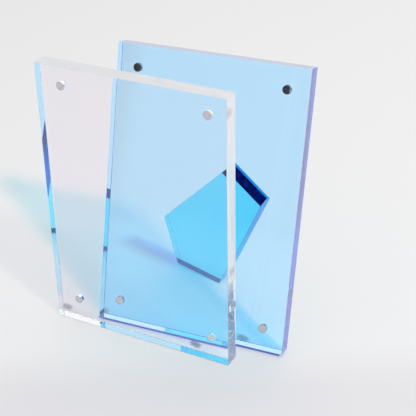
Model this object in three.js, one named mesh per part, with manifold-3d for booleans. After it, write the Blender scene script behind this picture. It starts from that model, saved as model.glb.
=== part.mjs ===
// Acrylic photo frame: a tinted back sheet on a bonded leg, and a clear front sheet.
// Four disc magnets in each sheet hold the two face to face over a print.
// The front sheet is taken off here and stands upright, turned a little, before the back sheet.
// Millimetres, +Z up, the photo side faces -Y, origin under the middle of the object's box.

import * as THREE from 'three';
import { mergeVertices } from 'three/addons/utils/BufferGeometryUtils.js';
import Module from 'manifold-3d';

// Sheets
const PANEL_WIDTH = 115;
const PANEL_HEIGHT = 165;
const BACK_THICKNESS = 10;
const FRONT_THICKNESS = 10;
const EDGE_CHAMFER = 0.4;

// Magnets, set back the same way from the two nearest edges of either sheet
const MAGNET_DIAMETER = 5;
const MAGNET_THICKNESS = 3;
const MAGNET_CHAMFER = 0.3;
const MAGNET_INSET = 13;
const MAGNET_SIDES = 32;
const POCKET_CLEARANCE = 0.3;

// Stance: the back sheet leans back as far on its short edge as the first angle says,
// and as far on its left edge as the second one says
const UPRIGHT_LEAN = THREE.MathUtils.degToRad(14);
const LANDSCAPE_LEAN = THREE.MathUtils.degToRad(15.8);

// Leg: a plate bonded behind the back sheet along one slanting edge, flaring towards its feet
const LEG_THICKNESS = 8.6;
const LEG_BOND_LENGTH = 29;
const LEG_BOND_WIDTH = 6.1;
const LEG_BOND_GAP = 0.3;
const LEG_BOND_FROM_LEFT = 80;
const LEG_BOND_HEIGHT = 91.7;
const LEG_TURN = THREE.MathUtils.degToRad(37.2);
const LEG_SPREAD = THREE.MathUtils.degToRad(34);
const LEG_TOP_BEVEL = THREE.MathUtils.degToRad(48);
const LEG_RIGHT_FLARE = THREE.MathUtils.degToRad(7);
const LEG_LEFT_FLARE = THREE.MathUtils.degToRad(8.9);

// Place of the front sheet: turned about the back sheet's lower left corner,
// slid to the left, and standing just clear of that corner
const FRONT_TURN = THREE.MathUtils.degToRad(4.1);
const FRONT_SHIFT = 24.5;
const FRONT_GAP = 1.5;

// The corners that carry magnets, as steps from the middle of a sheet
const CORNERS = [
  { name: 'top_left', across: -1, up: 1 },
  { name: 'top_right', across: 1, up: 1 },
  { name: 'bottom_left', across: -1, up: -1 },
  { name: 'bottom_right', across: 1, up: -1 },
];

const wasm = await Module();
wasm.setup();

// A closed geometry as a solid that can be cut
function toSolid(geometry) {
  const bare = geometry.clone();
  bare.deleteAttribute('normal');
  bare.deleteAttribute('uv');
  const merged = mergeVertices(bare);
  return new wasm.Manifold(new wasm.Mesh({
    numProp: 3,
    vertProperties: new Float32Array(merged.attributes.position.array),
    triVerts: new Uint32Array(merged.index.array),
  }));
}

// A cut solid as a geometry with flat faces
function toGeometry(solid) {
  const { vertProperties, triVerts } = solid.getMesh();
  const indexed = new THREE.BufferGeometry();
  indexed.setAttribute('position', new THREE.BufferAttribute(vertProperties, 3));
  indexed.setIndex(new THREE.BufferAttribute(triVerts, 1));
  const geometry = indexed.toNonIndexed();
  geometry.computeVertexNormals();
  return geometry;
}

function subtractAll(geometry, cutters) {
  let solid = toSolid(geometry);
  for (const cutter of cutters) {
    solid = solid.subtract(toSolid(cutter));
  }
  return toGeometry(solid);
}

function makeMesh(name, geometry, material) {
  const mesh = new THREE.Mesh(geometry, material);
  mesh.name = name;
  return mesh;
}

// Materials
function tintedAcrylic() {
  return new THREE.MeshStandardMaterial({
    color: 0x8fd0f5, roughness: 0.04, metalness: 0, transparent: true, opacity: 0.55,
  });
}

function clearAcrylic() {
  return new THREE.MeshStandardMaterial({
    color: 0xf2f5f7, roughness: 0.03, metalness: 0, transparent: true, opacity: 0.25,
  });
}

function nickelPlate() {
  return new THREE.MeshStandardMaterial({ color: 0xb9b7b3, roughness: 0.18, metalness: 1 });
}

// Middle of the magnet at one corner, in the plane of a sheet whose lower left corner is the origin
function magnetCentre(corner) {
  const across = PANEL_WIDTH / 2 - MAGNET_INSET;
  const up = PANEL_HEIGHT / 2 - MAGNET_INSET;
  return { x: PANEL_WIDTH / 2 + corner.across * across, z: PANEL_HEIGHT / 2 + corner.up * up };
}

// Outline of a sheet inside its edge chamfers, with its four corners broken too
function sheetOutline() {
  const low = EDGE_CHAMFER;
  const right = PANEL_WIDTH - EDGE_CHAMFER;
  const top = PANEL_HEIGHT - EDGE_CHAMFER;
  const cut = EDGE_CHAMFER;
  const outline = new THREE.Shape();
  outline.moveTo(low + cut, low);
  outline.lineTo(right - cut, low);
  outline.lineTo(right, low + cut);
  outline.lineTo(right, top - cut);
  outline.lineTo(right - cut, top);
  outline.lineTo(low + cut, top);
  outline.lineTo(low, top - cut);
  outline.lineTo(low, low + cut);
  outline.closePath();
  return outline;
}

// A sheet with X across, Z up and Y from its front face to its rear face.
// Its magnet pockets open through the face that meets the other sheet.
function sheetGeometry(thickness, matingFace) {
  const sheet = new THREE.ExtrudeGeometry(sheetOutline(), {
    depth: thickness - 2 * EDGE_CHAMFER,
    bevelEnabled: true,
    bevelSize: EDGE_CHAMFER,
    bevelThickness: EDGE_CHAMFER,
    bevelSegments: 1,
  });
  sheet.rotateX(Math.PI / 2);
  sheet.translate(0, thickness - EDGE_CHAMFER, 0);

  const radius = MAGNET_DIAMETER / 2 + POCKET_CLEARANCE;
  const depth = MAGNET_THICKNESS + POCKET_CLEARANCE;
  const pockets = CORNERS.map((corner) => {
    const { x, z } = magnetCentre(corner);
    // The cutter stands out of the mouth as far as it goes in
    const pocket = new THREE.CylinderGeometry(radius, radius, 2 * depth, MAGNET_SIDES);
    return pocket.translate(x, matingFace, z);
  });
  return subtractAll(sheet, pockets);
}

// A plated disc with broken rims, its axis along Y and its outer face at Y = 0
function magnetGeometry(inward) {
  const radius = MAGNET_DIAMETER / 2;
  const profile = [
    new THREE.Vector2(0, 0),
    new THREE.Vector2(radius - MAGNET_CHAMFER, 0),
    new THREE.Vector2(radius, MAGNET_CHAMFER),
    new THREE.Vector2(radius, MAGNET_THICKNESS - MAGNET_CHAMFER),
    new THREE.Vector2(radius - MAGNET_CHAMFER, MAGNET_THICKNESS),
    new THREE.Vector2(0, MAGNET_THICKNESS),
  ];
  const disc = new THREE.LatheGeometry(profile, MAGNET_SIDES);
  return inward > 0 ? disc : disc.translate(0, -MAGNET_THICKNESS, 0);
}

// The four magnets of one sheet, flush with its mating face
function addMagnets(group, prefix, matingFace, inward) {
  for (const corner of CORNERS) {
    const { x, z } = magnetCentre(corner);
    const magnet = makeMesh(`${prefix}_${corner.name}`, magnetGeometry(inward), nickelPlate());
    magnet.position.set(x, matingFace, z);
    group.add(magnet);
  }
}

// A block that fills everything beyond a plane, on the side that outward points to
function beyond(point, outward) {
  const size = 4 * (PANEL_WIDTH + PANEL_HEIGHT);
  const block = new THREE.BoxGeometry(size, size, size);
  block.translate(0, 0, size / 2);
  const turn = new THREE.Quaternion().setFromUnitVectors(new THREE.Vector3(0, 0, 1), outward);
  block.applyQuaternion(turn);
  return block.translate(point.x, point.y, point.z);
}

// The leg in the back sheet's frame. A flaring blank is hung from the bond edge and swung out,
// and four saw cuts then trim it: a mitre along the sheet's rear face, a bevelled top edge,
// and a foot for the table that the frame stands on upright and one for its left edge.
// A foot is cut square to the plate, so it stands on the lower edge of the plate's front face.
function legGeometry() {
  const bond = new THREE.Vector3(LEG_BOND_FROM_LEFT, BACK_THICKNESS + LEG_BOND_GAP, LEG_BOND_HEIGHT);
  const swing = new THREE.Matrix4().makeRotationY(LEG_TURN);
  swing.multiply(new THREE.Matrix4().makeRotationX(LEG_SPREAD));
  const plateOut = new THREE.Vector3(0, 1, 0).transformDirection(swing);
  const plateUp = new THREE.Vector3(0, 0, 1).transformDirection(swing);
  const rise = LEG_THICKNESS / Math.tan(LEG_SPREAD);
  const drop = PANEL_WIDTH + PANEL_HEIGHT;
  const half = LEG_BOND_LENGTH / 2;
  const right = (z) => half - z * Math.tan(LEG_RIGHT_FLARE);
  const left = (z) => -half + z * Math.tan(LEG_LEFT_FLARE);

  const outline = new THREE.Shape();
  outline.moveTo(left(rise), rise);
  outline.lineTo(left(-drop), -drop);
  outline.lineTo(right(-drop), -drop);
  outline.lineTo(right(rise), rise);
  outline.closePath();
  const blank = new THREE.ExtrudeGeometry(outline, { depth: LEG_THICKNESS, bevelEnabled: false });
  blank.rotateX(Math.PI / 2);
  blank.translate(0, LEG_THICKNESS, 0);
  blank.applyMatrix4(swing);
  blank.translate(bond.x, bond.y, bond.z);

  const upBond = new THREE.Vector3(Math.sin(LEG_TURN), 0, Math.cos(LEG_TURN));
  const topEdge = bond.clone().addScaledVector(upBond, LEG_BOND_WIDTH);
  const bevel = plateUp.clone().multiplyScalar(Math.cos(LEG_TOP_BEVEL));
  bevel.addScaledVector(plateOut, Math.sin(LEG_TOP_BEVEL));

  const footCut = (table) => {
    const reach = standingEdge().sub(bond).dot(table) / plateUp.dot(table);
    const foot = bond.clone().addScaledVector(plateUp, reach);
    return beyond(foot, table.clone().projectOnPlane(plateOut).normalize());
  };
  return subtractAll(blank, [
    beyond(bond, new THREE.Vector3(0, -1, 0)),
    beyond(topEdge, bevel),
    footCut(new THREE.Vector3(0, Math.sin(UPRIGHT_LEAN), -Math.cos(UPRIGHT_LEAN))),
    footCut(new THREE.Vector3(-Math.cos(LANDSCAPE_LEAN), Math.sin(LANDSCAPE_LEAN), 0)),
  ]);
}

// The line of the rear edges that the back sheet stands on, at its lower left corner
function standingEdge() {
  return new THREE.Vector3(0, BACK_THICKNESS - EDGE_CHAMFER, 0);
}

// Back half: sheet, leg and magnets, tipped back onto the sheet's lower rear edge
function backHalf() {
  const group = new THREE.Group();
  const matingFace = 0;
  group.add(makeMesh('back_panel', sheetGeometry(BACK_THICKNESS, matingFace), tintedAcrylic()));
  group.add(makeMesh('support_leg', legGeometry(), tintedAcrylic()));
  addMagnets(group, 'back_magnet', matingFace, 1);
  group.rotation.x = -UPRIGHT_LEAN;
  group.position.z = standingEdge().y * Math.sin(UPRIGHT_LEAN);
  return group;
}

// Front half: sheet and magnets, upright on the table
function frontHalf() {
  const sheet = new THREE.Group();
  const matingFace = FRONT_THICKNESS;
  sheet.add(makeMesh('front_panel', sheetGeometry(FRONT_THICKNESS, matingFace), clearAcrylic()));
  addMagnets(sheet, 'front_magnet', matingFace, -1);
  sheet.position.set(-FRONT_SHIFT, -FRONT_THICKNESS - FRONT_GAP, 0);

  const stand = new THREE.Group();
  stand.add(sheet);
  stand.rotation.z = -FRONT_TURN;
  return stand;
}

// The whole object, with its origin moved under the middle of its box
function photoFrame() {
  const frame = new THREE.Group();
  frame.add(backHalf());
  frame.add(frontHalf());
  frame.updateMatrixWorld(true);
  const box = new THREE.Box3().setFromObject(frame, true);
  const centre = box.getCenter(new THREE.Vector3());
  frame.position.set(-centre.x, -centre.y, -box.min.z);
  return frame;
}

export default photoFrame();
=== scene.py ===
# %% [markdown]
# An acrylic photo frame in two halves. The back half is a thick sheet of blue tinted acrylic that leans
# on a leg bonded behind it. The front half is a clear sheet of the same size, taken off and standing
# upright a little to the left. Four small disc magnets in each sheet hold the halves together.
# The CAD model is loaded first, because it fixes the size and place of every piece.

# %% Load the shared frame
import math

import bpy
from mathutils import Matrix, Vector


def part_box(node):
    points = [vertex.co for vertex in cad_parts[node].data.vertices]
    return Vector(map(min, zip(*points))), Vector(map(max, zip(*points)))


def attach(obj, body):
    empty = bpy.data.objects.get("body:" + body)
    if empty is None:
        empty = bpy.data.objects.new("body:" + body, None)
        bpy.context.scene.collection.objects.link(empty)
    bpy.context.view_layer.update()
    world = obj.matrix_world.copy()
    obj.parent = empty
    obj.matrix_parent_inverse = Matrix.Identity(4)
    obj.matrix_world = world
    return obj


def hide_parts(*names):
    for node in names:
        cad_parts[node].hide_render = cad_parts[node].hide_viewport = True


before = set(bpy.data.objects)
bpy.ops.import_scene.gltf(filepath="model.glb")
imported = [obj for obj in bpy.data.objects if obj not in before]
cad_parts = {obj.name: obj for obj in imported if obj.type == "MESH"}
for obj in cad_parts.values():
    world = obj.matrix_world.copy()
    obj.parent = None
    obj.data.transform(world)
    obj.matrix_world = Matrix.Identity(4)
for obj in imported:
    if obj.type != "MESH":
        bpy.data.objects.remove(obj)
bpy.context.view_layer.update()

MM = 0.001
bpy.ops.object.select_all(action="DESELECT")
scene = bpy.context.scene

# %% [markdown]
# The camera comes next, since every later choice is judged through it. It stands to the right of the
# middle, looks down by about thirty degrees and is hardly rolled at all. A long lens from a little over
# half a metre gives the gentle perspective of a product photograph. Blender counts the lens and the
# sensor in millimetres.

# %% Camera
CAMERA_TURN = math.radians(23.336)
CAMERA_RISE = math.radians(29.794)
CAMERA_ROLL = math.radians(-0.977)
CAMERA_TARGET = Vector((0.02584, -0.03369, 0.08997))
CAMERA_DISTANCE = 0.58194
SENSOR_WIDTH = 36
LENS = 92.2

camera_aim = (
    Matrix.Rotation(CAMERA_TURN, 4, "Z")
    @ Matrix.Rotation(math.pi / 2 - CAMERA_RISE, 4, "X")
    @ Matrix.Rotation(CAMERA_ROLL, 4, "Z")
)
bpy.ops.object.camera_add()
camera = bpy.context.object
camera.name = "camera"
camera.matrix_world = (
    Matrix.Translation(CAMERA_TARGET) @ camera_aim @ Matrix.Translation((0, 0, CAMERA_DISTANCE))
)
camera.data.sensor_width = SENSOR_WIDTH
camera.data.lens = LENS
scene.camera = camera
print("camera stands at", [round(value, 3) for value in camera.matrix_world.translation])

# %% [markdown]
# Both halves have a frame of their own: X across the sheet, Y from its front face to its rear face, Z up.
# The pieces are modelled in these simple frames, flat and square, and are put in place at the end.
# The back frame is tipped back onto the lower rear edge of its sheet. The front frame stands upright,
# turned by a few degrees about the back sheet's lower left corner and slid to the left.

# %% Places of the two halves
SHEET_WIDTH = 115 * MM
SHEET_HEIGHT = 165 * MM
SHEET_THICKNESS = 10 * MM
EDGE_BREAK = 0.4 * MM
BACK_LEAN = math.radians(14)
FRONT_TURN = math.radians(4.1)
FRONT_SHIFT = 24.5 * MM
FRONT_GAP = 1.5 * MM

back_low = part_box("back_panel")[0]
back_corner = Vector((
    back_low.x,
    back_low.y - EDGE_BREAK * math.sin(BACK_LEAN),
    (SHEET_THICKNESS - EDGE_BREAK) * math.sin(BACK_LEAN),
))
back_place = Matrix.Translation(back_corner) @ Matrix.Rotation(-BACK_LEAN, 4, "X")
front_place = (
    Matrix.Translation((back_corner.x, back_corner.y, 0))
    @ Matrix.Rotation(-FRONT_TURN, 4, "Z")
    @ Matrix.Translation((-FRONT_SHIFT, -SHEET_THICKNESS - FRONT_GAP, 0))
)
print("front sheet's corner in mm:", [round(value / MM, 2) for value in front_place.translation])

# %% [markdown]
# A sheet is sawn from cast acrylic, its edges are polished and the sharp arrises taken off. A cube at the
# sheet's size gets rounded edges. They are rounded before the pockets are drilled, so that one bevel of
# every edge does it and the pockets keep their sharp rims.

# %% Sheet with rounded edges
EDGE_STEPS = 4


def choose(piece):
    """Makes a piece the only selected one, and the active one."""
    bpy.ops.object.select_all(action="DESELECT")
    piece.select_set(True)
    bpy.context.view_layer.objects.active = piece


def round_edges(piece, width, steps):
    """Rounds every edge of a piece that still has sharp edges."""
    choose(piece)
    bpy.ops.object.mode_set(mode="EDIT")
    bpy.ops.mesh.select_all(action="SELECT")
    bpy.ops.mesh.bevel(offset=width, segments=steps, profile=0.5, affect="EDGES")
    bpy.ops.object.mode_set(mode="OBJECT")


bpy.ops.object.select_all(action="DESELECT")
bpy.ops.mesh.primitive_cube_add(size=1)
back_sheet = bpy.context.object
back_sheet.name = "back_sheet"
back_sheet.location = (SHEET_WIDTH / 2, SHEET_THICKNESS / 2, SHEET_HEIGHT / 2)
back_sheet.scale = (SHEET_WIDTH, SHEET_THICKNESS, SHEET_HEIGHT)
bpy.ops.object.transform_apply(location=True, rotation=True, scale=True)
round_edges(back_sheet, EDGE_BREAK, EDGE_STEPS)
print("rounded sheet has", len(back_sheet.data.polygons), "faces")

# %% [markdown]
# Four shallow pockets are drilled from the sheet's front face, one in each corner. A boolean with four
# cylinders does it in one go, and the cutter is thrown away. Afterwards the rounded edges are shaded
# smooth while the flat faces stay flat. The weighted normals matter on acrylic, because a flat face whose
# normals bend near its rim would act as a lens.

# %% Magnet pockets
MAGNET_RADIUS = 2.5 * MM
MAGNET_THICKNESS = 3 * MM
MAGNET_INSET = 13 * MM
POCKET_CLEARANCE = 0.05 * MM
CIRCLE_STEPS = 64
SMOOTH_ANGLE = math.radians(40)

across = (MAGNET_INSET, SHEET_WIDTH - MAGNET_INSET)
up = (MAGNET_INSET, SHEET_HEIGHT - MAGNET_INSET)
magnet_places = {
    "bottom_left": (across[0], up[0]),
    "bottom_right": (across[1], up[0]),
    "top_left": (across[0], up[1]),
    "top_right": (across[1], up[1]),
}


def smooth_rounds(piece):
    """Shades the rounded edges smooth and keeps the flat faces flat."""
    choose(piece)
    bpy.ops.object.shade_smooth_by_angle(angle=SMOOTH_ANGLE)
    weighted = piece.modifiers.new("flat faces first", "WEIGHTED_NORMAL")
    weighted.keep_sharp = True
    bpy.ops.object.modifier_apply(modifier=weighted.name)


bpy.ops.object.select_all(action="DESELECT")
drills = []
for x, z in magnet_places.values():
    bpy.ops.mesh.primitive_cylinder_add(
        vertices=CIRCLE_STEPS,
        radius=MAGNET_RADIUS + POCKET_CLEARANCE,
        depth=2 * (MAGNET_THICKNESS + POCKET_CLEARANCE),
        location=(x, 0, z),
        rotation=(math.pi / 2, 0, 0),
    )
    drills.append(bpy.context.object)
for drill in drills:
    drill.select_set(True)
bpy.ops.object.join()
cutter = bpy.context.object

choose(back_sheet)
drilling = back_sheet.modifiers.new("magnet pockets", "BOOLEAN")
drilling.operation = "DIFFERENCE"
drilling.solver = "EXACT"
drilling.object = cutter
bpy.ops.object.modifier_apply(modifier=drilling.name)
bpy.data.objects.remove(cutter)
smooth_rounds(back_sheet)
print("drilled", len(drills), "pockets")

# %% [markdown]
# Both sheets come out of the same tools, so the front one is a copy, turned by half a turn about its
# upright middle line to bring its pockets to its rear face. Its place is kept in its mesh, so the object
# itself stays at the origin, as the CAD nodes do.

# %% Front sheet
def settle(piece, place):
    """Moves a piece to its place and keeps that place in its mesh."""
    choose(piece)
    piece.matrix_world = place
    bpy.ops.object.transform_apply(location=True, rotation=True, scale=True)


def copy_of(piece, name):
    """A second piece of the same shape, with a mesh of its own."""
    twin = piece.copy()
    twin.data = piece.data.copy()
    twin.name = name
    scene.collection.objects.link(twin)
    return twin


front_sheet = copy_of(back_sheet, "front_sheet")
half_turn = Matrix.Translation((SHEET_WIDTH, SHEET_THICKNESS, 0)) @ Matrix.Rotation(math.pi, 4, "Z")
settle(front_sheet, front_place @ half_turn)
print(front_sheet.name, "is turned by", round(math.degrees(FRONT_TURN), 1), "degrees")

# %% [markdown]
# The back sheet's lower edge is cut a little off square, because its front arris hangs closer to the table
# than a square cut would leave it: the faces of that arris are selected by their place and pulled down.
# Then both sheets are ready. Each stands for its CAD node and moves with its half.

# %% Lower edge of the back sheet
LOWER_EDGE_SLANT = 0.45 * MM


def select_faces(piece, wanted):
    """Opens a piece in edit mode with only the wanted faces selected."""
    choose(piece)
    bpy.ops.object.mode_set(mode="EDIT")
    bpy.ops.mesh.select_mode(type="FACE")
    bpy.ops.mesh.select_all(action="DESELECT")
    bpy.ops.object.mode_set(mode="OBJECT")
    for face in piece.data.polygons:
        face.select = wanted(face)
    bpy.ops.object.mode_set(mode="EDIT")


def join_in(piece, node, body):
    """Lets a piece stand for a CAD node and move with its body."""
    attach(piece, body)
    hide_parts(node)
    print(piece.name, "has", len(piece.data.polygons), "faces and rides on", body)


select_faces(back_sheet, lambda face: max(face.center.y, face.center.z) < EDGE_BREAK)
bpy.ops.transform.translate(value=(0, 0, -LOWER_EDGE_SLANT))
bpy.ops.object.mode_set(mode="OBJECT")
smooth_rounds(back_sheet)
settle(back_sheet, back_place)
join_in(back_sheet, "back_panel", "back_half")
join_in(front_sheet, "front_panel", "front_half")

# %% [markdown]
# The leg is one plate. Hung from a slanting edge behind the sheet and swung out, it flares on both sides,
# and its end is cut twice, so that the frame can stand upright or on its left edge. It starts as a long
# block, larger than the leg on every side that is sawn, and is swung into its place behind the sheet
# before it is cut, because the sheet and the table give the planes of the cuts there.

# %% Blank of the leg
LEG_THICKNESS = 8.6 * MM
LEG_BLANK_WIDTH = 120 * MM
LEG_BLANK_LENGTH = 260 * MM
BOND_GAP = 0.3 * MM
BOND_PLACE = Vector((80 * MM, SHEET_THICKNESS + BOND_GAP, 91.7 * MM))
LEG_TURN = math.radians(37.2)
LEG_SPREAD = math.radians(34)

leg_swing = Matrix.Rotation(LEG_TURN, 4, "Y") @ Matrix.Rotation(LEG_SPREAD, 4, "X")
leg_place = Matrix.Translation(BOND_PLACE) @ leg_swing

bpy.ops.object.select_all(action="DESELECT")
bpy.ops.mesh.primitive_cube_add(size=1)
leg = bpy.context.object
leg.name = "leg"
leg.location = (0, LEG_THICKNESS / 2, -LEG_BLANK_LENGTH / 4)
leg.scale = (LEG_BLANK_WIDTH, LEG_THICKNESS, LEG_BLANK_LENGTH)
bpy.ops.object.transform_apply(location=True, rotation=True, scale=True)
settle(leg, leg_place)
print("blank of the leg is", round(LEG_THICKNESS / MM, 1), "mm thick")

# %% [markdown]
# A saw would make the leg from its blank in six cuts. Both feet are cut square to the plate, while the
# edge at the sheet is mitred and its top bevelled. Six bisects trim the block, each with the plane that
# its cut follows, and fill what they open. The normals are set outwards at the end.

# %% Six saw cuts
BOND_LENGTH = 29 * MM
BOND_WIDTH = 6.1 * MM
LEG_RIGHT_FLARE = math.radians(7)
LEG_LEFT_FLARE = math.radians(8.9)
TOP_BEVEL = math.radians(48)
LANDSCAPE_LEAN = math.radians(15.8)

stand_line = Vector((0, SHEET_THICKNESS - EDGE_BREAK, 0))
table = Vector((0, math.sin(BACK_LEAN), -math.cos(BACK_LEAN)))
landscape_table = Vector((-math.cos(LANDSCAPE_LEAN), math.sin(LANDSCAPE_LEAN), 0))
plate_out = leg_swing @ Vector((0, 1, 0))
plate_up = leg_swing @ Vector((0, 0, 1))


def foot_cut(down):
    """A cut square to the plate, through the line where its front face meets a table."""
    reach = (stand_line - BOND_PLACE).dot(down) / plate_up.dot(down)
    square = down - down.dot(plate_out) * plate_out
    return BOND_PLACE + reach * plate_up, square.normalized()


bond_up = Vector((math.sin(LEG_TURN), 0, math.cos(LEG_TURN)))
bevel = Vector((0, math.sin(TOP_BEVEL), math.cos(TOP_BEVEL)))
right_side = Vector((math.cos(LEG_RIGHT_FLARE), 0, math.sin(LEG_RIGHT_FLARE)))
left_side = Vector((-math.cos(LEG_LEFT_FLARE), 0, math.sin(LEG_LEFT_FLARE)))
saw_cuts = {
    "right side": (leg_place @ Vector((BOND_LENGTH / 2, 0, 0)), leg_swing @ right_side),
    "left side": (leg_place @ Vector((-BOND_LENGTH / 2, 0, 0)), leg_swing @ left_side),
    "bond face": (BOND_PLACE, Vector((0, -1, 0))),
    "bevelled top": (BOND_PLACE + BOND_WIDTH * bond_up, leg_swing @ bevel),
    "upright foot": foot_cut(table),
    "landscape foot": foot_cut(landscape_table),
}
bpy.ops.object.mode_set(mode="EDIT")
for cut, (point, outward) in saw_cuts.items():
    bpy.ops.mesh.select_all(action="SELECT")
    bpy.ops.mesh.bisect(plane_co=point, plane_no=outward, use_fill=True, clear_outer=True)
    print("sawn:", cut)
bpy.ops.mesh.select_all(action="SELECT")
bpy.ops.mesh.normals_make_consistent(inside=False)
bpy.ops.object.mode_set(mode="OBJECT")

# %% [markdown]
# The leg is held by a film of cured adhesive. Behind the tinted sheet it looks like a dark, mottled band,
# because hardly any light comes back from there, and that dark is painted into the film as painted shade.
# The film takes the outline of the leg's bond face: that face is duplicated, separated and extruded towards
# the sheet, and stays clear of both by a hair. The leg's own edges are rounded after that, so that the film
# keeps the full outline.

# %% Adhesive film, then the leg's rounded edges
FILM_THICKNESS = 0.2 * MM
FILM_CLEAR = 0.05 * MM
FILM_EDGE = 0.06 * MM
FILM_EDGE_STEPS = 2
LEG_EDGE = 0.2 * MM
LEG_EDGE_STEPS = 3
STRAIGHT_ALONG = 0.999

select_faces(leg, lambda face: face.normal.y < -STRAIGHT_ALONG)
bpy.ops.mesh.duplicate()
bpy.ops.mesh.separate(type="SELECTED")
bpy.ops.object.mode_set(mode="OBJECT")
film = [piece for piece in bpy.context.selected_objects if piece != leg][0]
film.name = "adhesive_film"
choose(film)
bpy.ops.object.mode_set(mode="EDIT")
bpy.ops.mesh.select_all(action="SELECT")
bpy.ops.transform.translate(value=(0, -FILM_CLEAR, 0))
bpy.ops.mesh.extrude_region_move(TRANSFORM_OT_translate={"value": (0, -FILM_THICKNESS, 0)})
bpy.ops.mesh.select_all(action="SELECT")
bpy.ops.mesh.normals_make_consistent(inside=False)
bpy.ops.object.mode_set(mode="OBJECT")
round_edges(film, FILM_EDGE, FILM_EDGE_STEPS)
smooth_rounds(film)
settle(film, back_place)
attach(film, "back_half")
print("film of", len(film.data.polygons), "faces")

round_edges(leg, LEG_EDGE, LEG_EDGE_STEPS)
smooth_rounds(leg)
settle(leg, back_place)
join_in(leg, "support_leg", "back_half")

# %% [markdown]
# The magnets are pressed discs with a nickel plate, rounded at both rims. One is made from a cylinder
# whose two rims are bevelled, and it is copied to the eight pockets. The discs of the back sheet lie flush
# with its front face, and those of the front sheet with its rear face.

# %% Magnets
MAGNET_ROUND = 0.12 * MM
MAGNET_ROUND_STEPS = 4

bpy.ops.object.select_all(action="DESELECT")
bpy.ops.mesh.primitive_cylinder_add(
    vertices=CIRCLE_STEPS,
    radius=MAGNET_RADIUS,
    depth=MAGNET_THICKNESS,
    location=(0, MAGNET_THICKNESS / 2, 0),
    rotation=(math.pi / 2, 0, 0),
)
disc = bpy.context.object
bpy.ops.object.transform_apply(location=True, rotation=True, scale=True)
select_faces(disc, lambda face: abs(face.normal.y) > STRAIGHT_ALONG)
bpy.ops.mesh.bevel(offset=MAGNET_ROUND, segments=MAGNET_ROUND_STEPS, profile=0.5, affect="EDGES")
bpy.ops.object.mode_set(mode="OBJECT")
smooth_rounds(disc)

magnets = []
for corner, (x, z) in magnet_places.items():
    back_magnet = copy_of(disc, "back_disc_" + corner)
    settle(back_magnet, back_place @ Matrix.Translation((x, 0, z)))
    join_in(back_magnet, "back_magnet_" + corner, "back_half")
    front_magnet = copy_of(disc, "front_disc_" + corner)
    settle(front_magnet, front_place @ Matrix.Translation((x, SHEET_THICKNESS - MAGNET_THICKNESS, z)))
    join_in(front_magnet, "front_magnet_" + corner, "front_half")
    magnets += [back_magnet, front_magnet]
bpy.data.objects.remove(disc)

# %% [markdown]
# Materials are node trees, and writing their sums as Python keeps them readable. A Wire holds one output
# socket: adding or multiplying wires adds the Math nodes, and every other node comes from make.

# %% A small helper for shader sums
class Wire:
    """An output socket that takes part in sums."""

    def __init__(self, tree, socket):
        self.tree = tree
        self.socket = socket

    @classmethod
    def make(cls, tree, kind, settings=None, sockets=None, output=0):
        """Adds one node: its settings first, then the values or wires of its sockets."""
        node = tree.nodes.new(kind)
        for name, value in (settings or {}).items():
            setattr(node, name, value)
        for name, value in (sockets or {}).items():
            if isinstance(value, Wire):
                tree.links.new(value.socket, node.inputs[name])
            else:
                node.inputs[name].default_value = value
        return cls(tree, node.outputs[output]) if node.outputs else None

    def maths(self, operation, first, second):
        """One Math node on two wires or numbers."""
        return Wire.make(self.tree, "ShaderNodeMath", {"operation": operation}, {0: first, 1: second})

    def __add__(self, other):
        return self.maths("ADD", self, other)

    def __sub__(self, other):
        return self.maths("SUBTRACT", self, other)

    def __rsub__(self, other):
        return self.maths("SUBTRACT", other, self)

    def __mul__(self, other):
        return self.maths("MULTIPLY", self, other)

    def __abs__(self):
        return self.maths("ABSOLUTE", self, 0.0)

    def root(self):
        return self.maths("SQRT", self, 0.0)

    def at_least(self, other):
        return self.maths("MAXIMUM", self, other)

    def above(self, low, high):
        """0 below low, 1 above high, and a soft step between."""
        settings = {"interpolation_type": "SMOOTHSTEP"}
        sockets = {"Value": self, "From Min": low, "From Max": high}
        return Wire.make(self.tree, "ShaderNodeMapRange", settings, sockets)

    __radd__ = __add__
    __rmul__ = __mul__


print("shader sums are written with", Wire.__name__)

# %% [markdown]
# Every material here needs the same few things: an empty tree, the place of a point in the frame that its
# piece was modelled in, soft noise, and colours that blend into each other. The places are Object
# coordinates, so no pattern has to be unwrapped and none slides when a piece moves.

# %% Places, noise and colours
def new_material(name):
    """An empty node material and its tree."""
    material = bpy.data.materials.new(name)
    material.use_nodes = True
    material.node_tree.nodes.clear()
    return material, material.node_tree


def in_frame(tree, place):
    """Object coordinates turned into the frame that a piece was modelled in."""
    object_point = Wire.make(tree, "ShaderNodeTexCoord", output="Object")
    sockets = {
        "Vector": object_point,
        "Location": place.to_translation(),
        "Rotation": place.to_euler(),
    }
    return Wire.make(tree, "ShaderNodeMapping", {"vector_type": "TEXTURE"}, sockets)


def axes_of(tree, point):
    """The X, Y and Z of a point, each on a wire of its own."""
    parts = Wire.make(tree, "ShaderNodeSeparateXYZ", sockets={"Vector": point})
    return [Wire(tree, parts.socket.node.outputs[axis]) for axis in "XYZ"]


def noise(tree, point, lumps, detail=2.0):
    """Soft noise between 0 and 1, with so many lumps to the metre."""
    sockets = {"Vector": point, "Scale": lumps, "Detail": detail}
    return Wire.make(tree, "ShaderNodeTexNoise", sockets=sockets)


def mix_colour(tree, share, first, second):
    """A colour between two others. The Mix node has its colours on its seventh and eighth sockets."""
    sockets = {0: share, 6: first, 7: second}
    return Wire.make(tree, "ShaderNodeMix", {"data_type": "RGBA"}, sockets, output=2)


print("materials are placed by Object coordinates")
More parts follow.
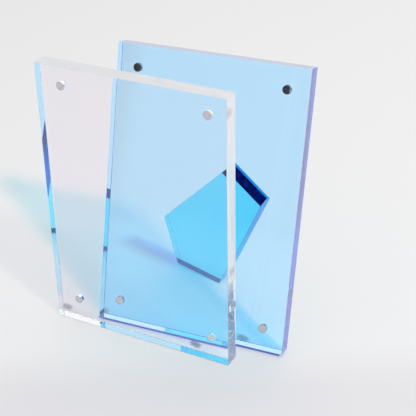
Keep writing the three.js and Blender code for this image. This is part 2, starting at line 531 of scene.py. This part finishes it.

# %% [markdown]
# Acrylic is clear plastic with a refractive index of 1.49. Its tint sits in the whole thickness, so it is
# an absorption in the volume: a sheet is pale through its faces and deep through its edges. A faint glow is
# painted on, an emission seen from outside, which keeps the deepest parts blue. The faces are polished,
# with a trace of handling haze, and on the buffed edges fine lines along the cut scatter a share of the
# light.

# %% Polish, buffed edges and tint
ACRYLIC_INDEX = 1.49
EVEN_DYE = (1.0, 1.0, 1.0, 1)
CLOUDED_DYE = (0.985, 0.99, 0.995, 1)
NO_PAINTED_GLOW = (0.0, 0.0, 0.0, 1)
SMEAR_LEVELS = (0.55, 0.8)
SMEAR_ROUGHNESS = 0.02
BUFFED_ROUGHNESS = 0.3
LINE_ROUGHNESS = 0.15
LINES_ALONG_CUT = (40.0, 4000.0, 40.0)


def polished(tree, point, painted_glow):
    """Clear plastic with smears of handling, and a faint painted glow seen from outside."""
    smears = noise(tree, point, lumps=60.0, detail=3.0).above(*SMEAR_LEVELS)
    dye = mix_colour(tree, noise(tree, point, lumps=25.0), EVEN_DYE, CLOUDED_DYE)
    sockets = {
        "Base Color": dye,
        "Roughness": SMEAR_ROUGHNESS * smears,
        "IOR": ACRYLIC_INDEX,
        "Transmission Weight": 1.0,
    }
    # The glow is painted light: an emission that brightens the blue from outside and is no lamp.
    if painted_glow:
        from_inside = Wire.make(tree, "ShaderNodeNewGeometry", output="Backfacing")
        sockets["Emission Color"] = mix_colour(tree, from_inside, painted_glow, NO_PAINTED_GLOW)
        sockets["Emission Strength"] = 1.0
    return Wire.make(tree, "ShaderNodeBsdfPrincipled", sockets=sockets)


def buffed(tree, lines, colour, gloss):
    """The skin of an edge that was sawn and buffed, rougher along its fine lines."""
    sockets = {
        "Base Color": colour,
        "Roughness": BUFFED_ROUGHNESS + LINE_ROUGHNESS * lines,
        "IOR": ACRYLIC_INDEX,
        "Specular IOR Level": gloss,
    }
    return Wire.make(tree, "ShaderNodeBsdfPrincipled", sockets=sockets)


def absorb(tree, per_mm):
    """Absorption that takes these shares of red, green and blue in each millimetre."""
    density = max(per_mm)
    colour = [1 - share / density for share in per_mm] + [1]
    sockets = {"Color": colour, "Density": density / MM}
    return Wire.make(tree, "ShaderNodeVolumeAbsorption", sockets=sockets)


print("acrylic has an index of", ACRYLIC_INDEX)

# %% [markdown]
# One recipe puts these together. A mask of haze brings the buffed skin onto the edges. Lamps and sky shine
# straight through, without bending, because that keeps the coloured shadow soft and free of grain: for
# shadow rays and diffuse rays the surface is transparent, with one shade for each kind of ray and other
# shades on the edges that hold light back.

# %% Recipe for acrylic
HAZE_LEAST = 0.95
HAZE_SPREAD = 0.1


def pass_light(tree, shade, held_back):
    """A transparent surface that takes one shade overall and other shades at the given edges."""
    passed = Wire.make(tree, "ShaderNodeBsdfTransparent", sockets={"Color": shade})
    for edge, edge_shade in held_back:
        dimmed = Wire.make(tree, "ShaderNodeBsdfTransparent", sockets={"Color": edge_shade})
        passed = Wire.make(tree, "ShaderNodeMixShader", sockets={0: edge, 1: passed, 2: dimmed})
    return passed


def acrylic(name, place, per_mm, lamp_shade, dome_shade, painted_glow, gloss, edges_of):
    """Polished acrylic. edges_of gives the haze of its edges, their colour and what they hold back."""
    material, tree = new_material(name)
    point = in_frame(tree, place)
    along = Wire.make(tree, "ShaderNodeMapping", sockets={"Vector": point, "Scale": LINES_ALONG_CUT})
    lines = noise(tree, along, lumps=1.0)
    haze, haze_colour, held_back = edges_of(tree, point)
    body = polished(tree, point, painted_glow)
    skin = buffed(tree, lines, haze_colour, gloss)
    share = haze * (HAZE_LEAST + HAZE_SPREAD * lines)
    surface = Wire.make(tree, "ShaderNodeMixShader", sockets={0: share, 1: body, 2: skin})
    for ray, shade in (("Is Diffuse Ray", dome_shade), ("Is Shadow Ray", lamp_shade)):
        passed = pass_light(tree, shade, held_back)
        of_this_ray = Wire.make(tree, "ShaderNodeLightPath", output=ray)
        surface = Wire.make(tree, "ShaderNodeMixShader", sockets={0: of_this_ray, 1: surface, 2: passed})
    sockets = {"Surface": surface, "Volume": absorb(tree, per_mm)}
    Wire.make(tree, "ShaderNodeOutputMaterial", sockets=sockets)
    material.cycles.emission_sampling = "NONE"
    return material


print("hazy edges vary by", HAZE_SPREAD, "of their haze")

# %% [markdown]
# The edges differ from piece to piece, and masks made from the place in the piece's own frame tell them
# apart, so nothing has to be unwrapped. The tinted sheet has a hazy top and a clearer right edge. A narrow
# indigo line of painted shade lies on the arris below its front face, its lower left corner has painted
# shade seen from inside, its underside has painted shade seen from below, and dark glue sits in patches on
# the walls of its pockets. Its underside also holds light back, because little of it finds its way into the
# narrow gap above the table. So does its right edge, which sends the lamp's light along inside the sheet.

# %% Edges of the tinted sheet
RIM = 0.8 * EDGE_BREAK
ARRIS_END = (0.35 * MM, 0.45 * MM)
DARK_CORNER_END = (2.6 * MM, 3.0 * MM)
GLUE_BEGINS = (0.05 * MM, 0.15 * MM)
GLUE_ENDS = (4 * MM, 5 * MM)
GLUE_LEVELS = (0.38, 0.55)
WALL_BEGINS = (-0.3 * MM, -0.2 * MM)
WALL_ENDS = (0.1 * MM, 0.2 * MM)
TINTED_HAZE = {"top": 0.85, "right": 0.28, "arris": 0.8, "underside": 0.9}
TINTED_SIDES = (0.56, 0.52, 0.88, 1)
TINTED_TOP = (0.57, 0.60, 0.72, 1)
ARRIS_PAINTED_SHADE = (0.04, 0.06, 0.60, 1)
GLUE_AND_PAINTED_SHADE = (0.01, 0.015, 0.12, 1)
UNDER_TINTED = (0.10, 0.15, 0.60, 1)
BESIDE_TINTED = (0.45, 0.84, 0.96, 1)


def pocket_walls(tree, point):
    """The walls of the four pockets, patchy with glue."""
    x, y, z = axes_of(tree, point)
    beside = abs(x - SHEET_WIDTH / 2) - (SHEET_WIDTH / 2 - MAGNET_INSET)
    above = abs(z - SHEET_HEIGHT / 2) - (SHEET_HEIGHT / 2 - MAGNET_INSET)
    distance = (beside * beside + above * above).root()
    pocket = MAGNET_RADIUS + POCKET_CLEARANCE
    from_wall = distance - pocket
    ring = from_wall.above(*WALL_BEGINS) * (1.0 - from_wall.above(*WALL_ENDS))
    deep = y.above(*GLUE_BEGINS) * (1.0 - y.above(*GLUE_ENDS))
    patches = noise(tree, point, lumps=900.0, detail=3.0).above(*GLUE_LEVELS)
    return ring * deep * patches


def tinted_edges(tree, point):
    """Haze, colour with painted shade, and dimming of the tinted sheet's edges."""
    x, y, z = axes_of(tree, point)
    from_inside = Wire.make(tree, "ShaderNodeNewGeometry", output="Backfacing")
    right = x.above(SHEET_WIDTH - RIM, SHEET_WIDTH)
    top = z.above(SHEET_HEIGHT - RIM, SHEET_HEIGHT)
    raised = z + LOWER_EDGE_SLANT * (1.0 - y * (1 / SHEET_THICKNESS))
    bottom = 1.0 - raised.above(0.0, RIM)
    # The arris mask places the indigo painted shade along the lower front edge.
    arris = (1.0 - raised.above(*ARRIS_END)) * (1.0 - y.above(RIM, EDGE_BREAK))
    # The lower left corner seen from inside and the underside seen from below are painted dark as painted
    # shade, in the same dark colour as the glue patches in the pockets.
    corner = (1.0 - x.above(0.0, RIM)) * (1.0 - raised.above(*DARK_CORNER_END)) * from_inside
    from_below = TINTED_HAZE["underside"] * bottom * (1.0 - from_inside)
    glue_and_painted_shade = corner.at_least(from_below).at_least(pocket_walls(tree, point))
    haze = (TINTED_HAZE["arris"] * arris).at_least(TINTED_HAZE["right"] * right)
    haze = haze.at_least(TINTED_HAZE["top"] * top).at_least(glue_and_painted_shade)
    colour = mix_colour(tree, top, TINTED_SIDES, TINTED_TOP)
    colour = mix_colour(tree, arris, colour, ARRIS_PAINTED_SHADE)
    colour = mix_colour(tree, glue_and_painted_shade, colour, GLUE_AND_PAINTED_SHADE)
    return haze, colour, ((bottom, UNDER_TINTED), (right, BESIDE_TINTED))


print("edges reach", round(RIM / MM, 2), "mm in from a side")

# %% [markdown]
# The clear sheet's top is hazy. Its right edge is polished best near its lower end, where one can look
# into it, and is a little worn higher up. The underside holds light back, as on the tinted sheet.

# %% Edges of the clear sheet
WORN_FROM = (42 * MM, 54 * MM)
CLEAR_TOP_HAZE = 0.7
POLISHED_HAZE = 0.05
WORN_HAZE = 0.38
CLEAR_RIGHT = (0.84, 0.83, 0.82, 1)
CLEAR_TOP = (0.79, 0.775, 0.78, 1)
UNDER_CLEAR = (0.50, 0.50, 0.55, 1)


def clear_edges(tree, point):
    """Haze, colour and dimming of the clear sheet's edges."""
    x, _, z = axes_of(tree, point)
    right = x.above(SHEET_WIDTH - RIM, SHEET_WIDTH)
    top = z.above(SHEET_HEIGHT - RIM, SHEET_HEIGHT)
    bottom = 1.0 - z.above(0.0, RIM)
    worn = POLISHED_HAZE + WORN_HAZE * z.above(*WORN_FROM)
    haze = (worn * right).at_least(CLEAR_TOP_HAZE * top)
    colour = mix_colour(tree, top, CLEAR_RIGHT, CLEAR_TOP)
    return haze, colour, ((bottom, UNDER_CLEAR),)


print("clear sheet's right edge is worn from", round(WORN_FROM[0] / MM), "mm up")

# %% [markdown]
# The leg is matt on its right side and its bevelled top. Its foot is painted dark, as painted shade where
# it stands on the table, with lighter patches in it. The side and the foot are slanted planes, so their
# ends are found by the distance along the normal of their saw cut. The foot holds light back, because it
# stands on the table.

# %% Edges of the leg
SIDE_FROM = (2 * MM, 6 * MM)
LOWER_PART = (-70 * MM, -10 * MM)
TOP_FROM = (-1.0 * MM, -0.5 * MM)
SAWN_FROM = (0.2 * LEG_EDGE, LEG_EDGE)
SIDE_SKIN = (0.15 * MM, 0.05 * MM)
FOOT_SKIN = (0.2 * MM, 0.1 * MM)
FOOT_PATCH_LEVELS = (0.45, 0.7)
LEG_HAZE = {"right": 0.9, "foot": 0.95}
LEG_UPPER_SIDE = (0.44, 0.62, 0.99, 1)
LEG_LOWER_SIDE = (0.23, 0.67, 0.97, 1)
LEG_TOP = (0.01, 0.31, 0.72, 1)
FOOT_PAINTED_SHADE = (0.0, 0.03, 0.10, 1)
FOOT_SHADE_PATCHES = (0.0, 0.15, 0.37, 1)
UNDER_LEG = (0.32, 0.45, 0.62, 1)

side_end = right_side.x * BOND_LENGTH / 2
foot_point, foot_outward = saw_cuts["upright foot"]
foot_way = leg_swing.inverted() @ foot_outward
foot_end = foot_way.dot(leg_place.inverted() @ foot_point)


def leg_edges(tree, point):
    """Haze, colour with painted shade at the foot, and dimming of the leg's edges."""
    x, y, z = axes_of(tree, point)
    inside = LEG_THICKNESS / 2 - abs(y - LEG_THICKNESS / 2)
    sawn = inside.above(*SAWN_FROM)
    right = sawn * x.above(*SIDE_FROM)
    lower = 1.0 - z.above(*LOWER_PART)
    along_side = right_side.x * x + right_side.z * z
    beside = along_side.above(side_end - SIDE_SKIN[0], side_end - SIDE_SKIN[1])
    top = sawn * z.above(*TOP_FROM) * (1.0 - beside)
    along_foot = foot_way.x * x + foot_way.z * z
    foot = along_foot.above(foot_end - FOOT_SKIN[0], foot_end - FOOT_SKIN[1])
    # The foot's dark colour is painted shade of its contact with the table, mottled by lighter patches.
    foot_patches = noise(tree, point, lumps=500.0, detail=3.0).above(*FOOT_PATCH_LEVELS)
    foot_painted_shade = mix_colour(tree, foot_patches, FOOT_PAINTED_SHADE, FOOT_SHADE_PATCHES)
    colour = mix_colour(tree, lower, LEG_UPPER_SIDE, LEG_LOWER_SIDE)
    colour = mix_colour(tree, top, colour, LEG_TOP)
    colour = mix_colour(tree, foot, colour, foot_painted_shade)
    haze = (LEG_HAZE["right"] * right).at_least(top).at_least(LEG_HAZE["foot"] * foot)
    return haze, colour, ((foot, UNDER_LEG),)


print("leg's foot lies", round(foot_end / MM, 1), "mm from the middle of its bond edge")

# %% [markdown]
# Three finishes come from the same recipe. The leg's plate is dyed more deeply than the sheet, and the
# clear sheet has hardly any tint and no painted glow.

# %% Three kinds of acrylic
ALL_LIGHT = (1.0, 1.0, 1.0, 1)
TINTED_DOME_SHADE = (0.92, 0.88, 0.87, 1)

tinted = acrylic(
    "blue_tinted_acrylic",
    back_place,
    per_mm=(0.0500, 0.0110, 0.002),
    lamp_shade=ALL_LIGHT,
    dome_shade=TINTED_DOME_SHADE,
    painted_glow=(0.0, 0.0005, 0.07, 1),
    gloss=0.5,
    edges_of=tinted_edges,
)
deeper = acrylic(
    "leg_tinted_acrylic",
    back_place @ leg_place,
    per_mm=(0.155, 0.0125, 0.0018),
    lamp_shade=ALL_LIGHT,
    dome_shade=TINTED_DOME_SHADE,
    painted_glow=(0.0, 0.002, 0.06, 1),
    gloss=0.0,
    edges_of=leg_edges,
)
clear = acrylic(
    "clear_acrylic",
    front_place,
    per_mm=(0.0006, 0.0004, 0.0003),
    lamp_shade=(0.92, 0.93, 0.95, 1),
    dome_shade=(0.92, 0.92, 0.92, 1),
    painted_glow=None,
    gloss=0.5,
    edges_of=clear_edges,
)
for piece, finish in ((back_sheet, tinted), (leg, deeper), (front_sheet, clear)):
    piece.data.materials.clear()
    piece.data.materials.append(finish)
    print(piece.name, "is", finish.name)

# %% [markdown]
# The film's near-black blue is painted shade of the bond, where hardly any light comes back. Clouds,
# pale veins and small voids lie in it, as the glue spread when the leg was pressed on. Three noises shift
# its colour, the veins run along the middle level of one of them, and the voids are rougher.

# %% Cured adhesive
# The glue's dark colours are painted shade of the bond, where little light comes back.
GLUE_PAINTED_SHADE = (0.0, 0.0003, 0.002, 1)
GLUE_CLOUD = (0.0, 0.002, 0.03, 1)
GLUE_VEIN = (0.0, 0.03, 0.22, 1)
GLUE_VOID = (0.0, 0.012, 0.10, 1)
GLUE_ROUGHNESS = 0.7
VOID_ROUGHNESS = 0.2
CLOUD_LEVELS = (0.42, 0.62)
VOID_LEVELS = (0.6, 0.75)
VEIN_LEVEL = 0.5
VEIN_WIDTH = 0.035

glue, tree = new_material("cured_adhesive")
point = in_frame(tree, back_place @ leg_place)
clouds = noise(tree, point, lumps=320.0, detail=3.0).above(*CLOUD_LEVELS)
voids = noise(tree, point, lumps=1100.0).above(*VOID_LEVELS)
from_vein = abs(noise(tree, point, lumps=260.0, detail=4.0) - VEIN_LEVEL)
veins = 1.0 - from_vein.above(0.0, VEIN_WIDTH)
cloudy = mix_colour(tree, clouds, GLUE_PAINTED_SHADE, GLUE_CLOUD)
veined = mix_colour(tree, veins, cloudy, GLUE_VEIN)
glue_sockets = {
    "Base Color": mix_colour(tree, voids, veined, GLUE_VOID),
    "Roughness": GLUE_ROUGHNESS + VOID_ROUGHNESS * voids,
    "Specular IOR Level": 0.0,
}
glue_skin = Wire.make(tree, "ShaderNodeBsdfPrincipled", sockets=glue_sockets)
Wire.make(tree, "ShaderNodeOutputMaterial", sockets={"Surface": glue_skin})
film.data.materials.clear()
film.data.materials.append(glue)
print(film.name, "is", glue.name)

# %% [markdown]
# The discs are plated with bright nickel, which is a warm grey metal. The plate is almost a mirror, with
# faint orange peel and small scuffs from snapping against each other, so its roughness and colour vary a
# little.

# %% Nickel plate
BRIGHT_NICKEL = (0.65, 0.64, 0.64, 1)
SCUFFED_NICKEL = (0.57, 0.56, 0.56, 1)
BRIGHT_ROUGHNESS = 0.025
SCUFF_ROUGHNESS = 0.05
SCUFF_LEVELS = (0.52, 0.7)
PEEL_STRENGTH = 0.05
PEEL_DEPTH = 0.01 * MM

nickel, tree = new_material("nickel_plate")
point = Wire.make(tree, "ShaderNodeTexCoord", output="Object")
scuffs = noise(tree, point, lumps=1400.0, detail=4.0).above(*SCUFF_LEVELS)
peel = noise(tree, point, lumps=2500.0)
peel_sockets = {"Strength": PEEL_STRENGTH, "Distance": PEEL_DEPTH, "Height": peel}
nickel_sockets = {
    "Base Color": mix_colour(tree, scuffs, BRIGHT_NICKEL, SCUFFED_NICKEL),
    "Metallic": 1.0,
    "Roughness": BRIGHT_ROUGHNESS + SCUFF_ROUGHNESS * scuffs,
    "Normal": Wire.make(tree, "ShaderNodeBump", sockets=peel_sockets),
}
metal = Wire.make(tree, "ShaderNodeBsdfPrincipled", sockets=nickel_sockets)
Wire.make(tree, "ShaderNodeOutputMaterial", sockets={"Surface": metal})
for magnet in magnets:
    magnet.data.materials.clear()
    magnet.data.materials.append(nickel)
print("plated", len(magnets), "discs")

# %% [markdown]
# The table is a plain pale floor. It lies a hair below the pieces, because acrylic that truly touched
# it would lose the thin air gap that sends light back up through the edges.

# %% Floor
FLOOR_SIZE = 8
FLOOR_DROP = 0.2 * MM

bpy.ops.object.select_all(action="DESELECT")
bpy.ops.mesh.primitive_plane_add(size=FLOOR_SIZE, location=(0, 0, -FLOOR_DROP))
floor = bpy.context.object
floor.name = "floor"
print("floor lies", FLOOR_DROP / MM, "mm below the object")

# %% [markdown]
# The floor's paper has painted shade that makes it a little greyer towards the front right, where the light
# falls off. Behind acrylic it is shown with painted light, paler and cooler, most of all as a painted pool
# of light at the foot of the sheets, and with painted shadow on the side of the shadow. In mirrors its far
# front end is painted black, as in a room with a dark front wall. Further out it fades into the pale
# backdrop for whoever looks at it, and gives no light of its own to the object. The limits are in metres.

# %% Colour of the floor
PAPER = (0.795, 0.795, 0.80, 1)
PAPER_FIBRES = (0.805, 0.805, 0.81, 1)
PAPER_PAINTED_SHADE = (0.725, 0.713, 0.735, 1)
PAINTED_LIGHT_AT_FOOT = (0.86, 0.925, 0.99, 1)
PAINTED_LIGHT_BEHIND = (0.835, 0.84, 0.90, 1)
PAINTED_SHADOW_SIDE = (0.775, 0.75, 0.79, 1)
UNLIT = (0.008, 0.008, 0.010, 1)
BACKDROP = (0.86, 0.86, 0.87, 1)
PAPER_ROUGHNESS = 0.8
PAPER_GLOSS = 0.1
FRONT_WAY = (0.396, -0.918)
RIGHT_WAY = (0.918, 0.395)
GREYER_FROM = (0.04, 0.092)
LAMP_SIDE_FROM = (-0.064, -0.042)
BEHIND_FOOT_FROM = (-0.03, 0.01)
LIT_FROM = (-1.1, -0.32)
FADES_OUT_FROM = (0.6, 1.6)

floor_material, tree = new_material("pale_floor")
point = Wire.make(tree, "ShaderNodeTexCoord", output="Object")
width, depth, _ = axes_of(tree, point)
direct = Wire.make(tree, "ShaderNodeLightPath", output="Is Camera Ray")
through_glass = Wire.make(tree, "ShaderNodeLightPath", output="Is Transmission Ray")
mirrored = Wire.make(tree, "ShaderNodeLightPath", output="Glossy Depth").above(0.0, 1.0)

paper = mix_colour(tree, noise(tree, point, lumps=700.0), PAPER, PAPER_FIBRES)
# Painted shade: the paper greys towards the front right, as the light falls off.
nearer = (FRONT_WAY[0] * width + FRONT_WAY[1] * depth).above(*GREYER_FROM)
painted_falloff = mix_colour(tree, nearer, paper, PAPER_PAINTED_SHADE)
# Seen through acrylic the floor has painted light, brightest as a pool at the foot of the sheets, and
# painted shadow on the side away from the lamp.
lamp_side = (RIGHT_WAY[0] * width + RIGHT_WAY[1] * depth).above(*LAMP_SIDE_FROM)
lamp_lit = mix_colour(tree, depth.above(*BEHIND_FOOT_FROM), PAINTED_LIGHT_AT_FOOT, PAINTED_LIGHT_BEHIND)
behind_glass = mix_colour(tree, lamp_side, PAINTED_SHADOW_SIDE, lamp_lit)
seen = mix_colour(tree, through_glass, painted_falloff, behind_glass)
# In mirrors the far front of the floor is painted black, a painted reflection of an unlit room.
far_front = mirrored * (1.0 - depth.above(*LIT_FROM))
floor_sockets = {
    "Base Color": mix_colour(tree, far_front, seen, UNLIT),
    "Roughness": PAPER_ROUGHNESS,
    "Specular IOR Level": PAPER_GLOSS,
}
matt = Wire.make(tree, "ShaderNodeBsdfPrincipled", sockets=floor_sockets)

away = (width * width + depth * depth).root().above(*FADES_OUT_FROM)
plain = away * direct.at_least(through_glass) * (1.0 - mirrored)
horizon = Wire.make(tree, "ShaderNodeEmission", sockets={"Color": BACKDROP})
surface = Wire.make(tree, "ShaderNodeMixShader", sockets={0: plain, 1: matt, 2: horizon})
Wire.make(tree, "ShaderNodeOutputMaterial", sockets={"Surface": surface})
floor_material.cycles.emission_sampling = "NONE"
floor.data.materials.append(floor_material)
print("floor fades out from", FADES_OUT_FROM[0], "m")

# %% [markdown]
# The light is a plain studio: one strong lamp on the right, halfway up, which draws the slanting edge of
# the coloured shadow, and two weak ones, high on the same side and behind. The lamps stand metres away,
# so the floor is lit evenly and the shadow keeps its shape.

# %% Lamps
LAMP_TARGET = Vector((0, 0, 0.05))


def soft_lamp(name, place, width, watts):
    """A square lamp that looks at the object."""
    bpy.ops.object.light_add(type="AREA", location=place)
    lamp = bpy.context.object
    lamp.name = name
    lamp.data.size = width
    lamp.data.energy = watts
    aim = LAMP_TARGET - lamp.location
    lamp.rotation_euler = aim.to_track_quat("-Z", "Y").to_euler()
    print(name, "of", watts, "watts")


soft_lamp("key_lamp", place=(3.92, -2.13, 4.01), width=0.45, watts=276.0)
soft_lamp("high_lamp", place=(3.0, -1.5, 5.9), width=0.9, watts=31.0)
soft_lamp("top_lamp", place=(-0.2, 1.6, 2.2), width=1.2, watts=10.0)

# %% [markdown]
# The world lights the object as a soft grey dome. Looked at directly or through acrylic it is a pale
# backdrop. In mirrors it is bright behind the object, and in front of it dark, with a dusky blue higher up.
# The dark front keeps reflections off the sheets and turns the upper magnets black.

# %% World
FRONT_WALL = (0.012, 0.012, 0.015, 1)
FRONT_ABOVE = (0.16, 0.24, 0.45, 1)
BRIGHT_BEHIND = (1.0, 1.0, 1.0, 1)
DOME_LOW = (0.1, 0.1, 0.1, 1)
DOME_HIGH = (0.45, 0.45, 0.45, 1)
BEHIND_FROM = (-0.1, 0.5)
WALL_TOP = (0.2, 0.42)
DOME_RISE = (0.0, 0.6)

world = bpy.data.worlds.new("studio")
scene.world = world
world.use_nodes = True
tree = world.node_tree
tree.nodes.clear()
sky = Wire.make(tree, "ShaderNodeTexCoord", output="Generated")
_, backwards, height = axes_of(tree, sky)
direct = Wire.make(tree, "ShaderNodeLightPath", output="Is Camera Ray")
reflected = Wire.make(tree, "ShaderNodeLightPath", output="Is Glossy Ray")
through_glass = Wire.make(tree, "ShaderNodeLightPath", output="Is Transmission Ray")
mirrored = Wire.make(tree, "ShaderNodeLightPath", output="Glossy Depth").above(0.0, 1.0)

front = mix_colour(tree, height.above(*WALL_TOP), FRONT_WALL, FRONT_ABOVE)
in_mirrors = mix_colour(tree, backwards.above(*BEHIND_FROM), front, BRIGHT_BEHIND)
room = mix_colour(tree, mirrored, BACKDROP, in_mirrors)
dome = mix_colour(tree, height.above(*DOME_RISE), DOME_LOW, DOME_HIGH)
studio = mix_colour(tree, through_glass.at_least(reflected), dome, room)
colour = mix_colour(tree, direct, studio, BACKDROP)
backdrop = Wire.make(tree, "ShaderNodeBackground", sockets={"Color": colour, "Strength": 1.0})
Wire.make(tree, "ShaderNodeOutputWorld", sockets={"Surface": backdrop})
print("world is", world.name)

# %% [markdown]
# Colours are shown as they are, with the Standard view. Long light paths are allowed, because a ray that
# enters an edge is passed from face to face many times before it leaves. Caustics are left out, because
# the light that shines straight through the tinted pieces already colours the shadow.

# %% View and light paths
LONGEST_PATH = 96

scene.view_settings.view_transform = "Standard"
scene.cycles.max_bounces = LONGEST_PATH
scene.cycles.glossy_bounces = LONGEST_PATH
scene.cycles.transmission_bounces = LONGEST_PATH
scene.cycles.caustics_reflective = False
scene.cycles.caustics_refractive = False
print("light paths of up to", LONGEST_PATH, "bounces")
